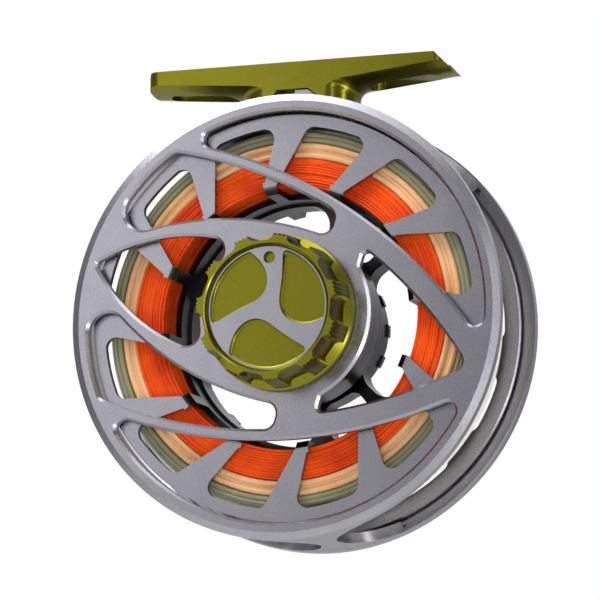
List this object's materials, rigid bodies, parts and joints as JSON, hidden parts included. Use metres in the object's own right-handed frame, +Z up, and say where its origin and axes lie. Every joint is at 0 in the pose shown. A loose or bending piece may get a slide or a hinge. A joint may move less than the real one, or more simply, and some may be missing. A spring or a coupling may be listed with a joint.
{
  "type": "fly reel",
  "caption": "Large-arbor fly reel: ported frame with a swept-arm rear plate, sealed disc drag, lobed drag knob, trough-topped foot and a spool wound with fly line.",
  "frame": {"origin": "on the axis of the rod's reel seat, above the middle of the reel foot", "axes": "+Z up from the spool towards the rod, +X along the rod, +Y along the spool axis from the drag knob towards the crank handle"},
  "size_m": [0.1006, 0.0677, 0.11],
  "materials": {
    "gunmetal": "satin",
    "olive_anodised": "satin",
    "steel": "brushed",
    "spring_steel": "brushed",
    "brass": "satin",
    "carbon": "matte",
    "black_rubber": "matte",
    "acetal": "matte",
    "handle_plastic": "satin",
    "orange_line": "matte",
    "peach_line": "satin",
    "olive_line": "satin",
    "cream_line": "satin"
  },
  "bodies": {
    "frame": {"frame": "gunmetal", "reel_foot": "olive_anodised", "foot_screws": "steel", "drag_housing": "gunmetal", "housing_screws": "steel", "cover_gasket": "black_rubber", "housing_cover": "gunmetal", "cover_screws": "steel", "cover_seal": "black_rubber", "spindle": "steel", "steel_discs": "steel", "pawl_pin": "steel", "pawl_spring": "spring_steel", "detent_spring": "spring_steel"},
    "knob": {"drag_knob": "olive_anodised", "knob_medallion": "gunmetal", "knob_nut": "brass", "knob_o_ring": "black_rubber", "detent_ring": "steel"},
    "detent": {"detent_ball": "steel"},
    "pressure": {"thrust_pins": "steel", "thrust_ring": "steel", "belleville_springs": "spring_steel", "pressure_plate": "steel"},
    "drag_rotor": {"carbon_discs": "carbon", "clutch_drum": "steel", "clutch_rollers": "steel"},
    "drive": {"drive_hub": "steel", "drive_bushing": "brass", "click_gear": "steel"},
    "pawl": {"click_pawl": "brass"},
    "spool_core": {"bearing_inner_races": "steel", "bearing_spacer": "gunmetal", "cap_o_ring": "black_rubber"},
    "ball_sets": {"bearing_balls": "steel"},
    "spool": {"spool": "gunmetal", "bearing_outer_races": "steel", "backing_line": "orange_line", "running_line": "peach_line", "head_line": "olive_line", "leader_line": "cream_line", "handle_post": "steel", "handle_screw": "steel", "counterweight": "olive_anodised", "counterweight_screw": "steel"},
    "handle": {"handle_knob": "handle_plastic", "handle_bushings": "acetal"},
    "cap": {"release_cap": "gunmetal"}
  },
  "joints": [
    {"name": "spool_pull", "type": "slide", "parent": "frame", "child": "spool_core", "axis": [0, 1, 0], "range_m": [0, 0.045]},
    {"name": "spool_spin", "type": "hinge", "parent": "spool_core", "child": "spool", "pos_m": [0, 0.0086, -0.06397], "axis": [0, 1, 0], "continuous": true},
    {"name": "ball_set_spin", "type": "hinge", "parent": "spool_core", "child": "ball_sets", "pos_m": [0, 0.0086, -0.06397], "axis": [0, 1, 0], "continuous": true},
    {"name": "handle_spin", "type": "hinge", "parent": "spool", "child": "handle", "pos_m": [0.0119, 0.0286, -0.02736], "axis": [0, 1, 0], "continuous": true},
    {"name": "cap_turn", "type": "hinge", "parent": "spool_core", "child": "cap", "pos_m": [0, 0.0176, -0.06397], "axis": [0, 1, 0], "range_deg": [0, 90]},
    {"name": "drive_spin", "type": "hinge", "parent": "frame", "child": "drive", "pos_m": [0, -0.0044, -0.06397], "axis": [0, 1, 0], "continuous": true},
    {"name": "drag_slip", "type": "hinge", "parent": "frame", "child": "drag_rotor", "pos_m": [0, -0.0064, -0.06397], "axis": [0, 1, 0], "continuous": true},
    {"name": "knob_turn", "type": "hinge", "parent": "frame", "child": "knob", "pos_m": [0, -0.0204, -0.06397], "axis": [0, 1, 0], "range_deg": [0, 345]},
    {"name": "pressure_slide", "type": "slide", "parent": "frame", "child": "pressure", "axis": [0, 1, 0], "range_m": [0, 0.00061]},
    {"name": "detent_slide", "type": "slide", "parent": "frame", "child": "detent", "axis": [0, 1, 0], "range_m": [0, 0.0003]},
    {"name": "pawl_swing", "type": "hinge", "parent": "frame", "child": "pawl", "pos_m": [-0.01328, -0.002, -0.07552], "axis": [0, -1, 0], "range_deg": [0, 15], "stiffness_Nm_per_rad": 0.0006, "springref_deg": -1.72}
  ],
  "couplings": [
    {"joint": "drive_spin", "follows": "spool_spin", "ratio": 1},
    {"joint": "ball_set_spin", "follows": "spool_spin", "ratio": 0.57},
    {"joint": "pressure_slide", "follows": "knob_turn", "m_per_rad": 0.0001}
  ]
}
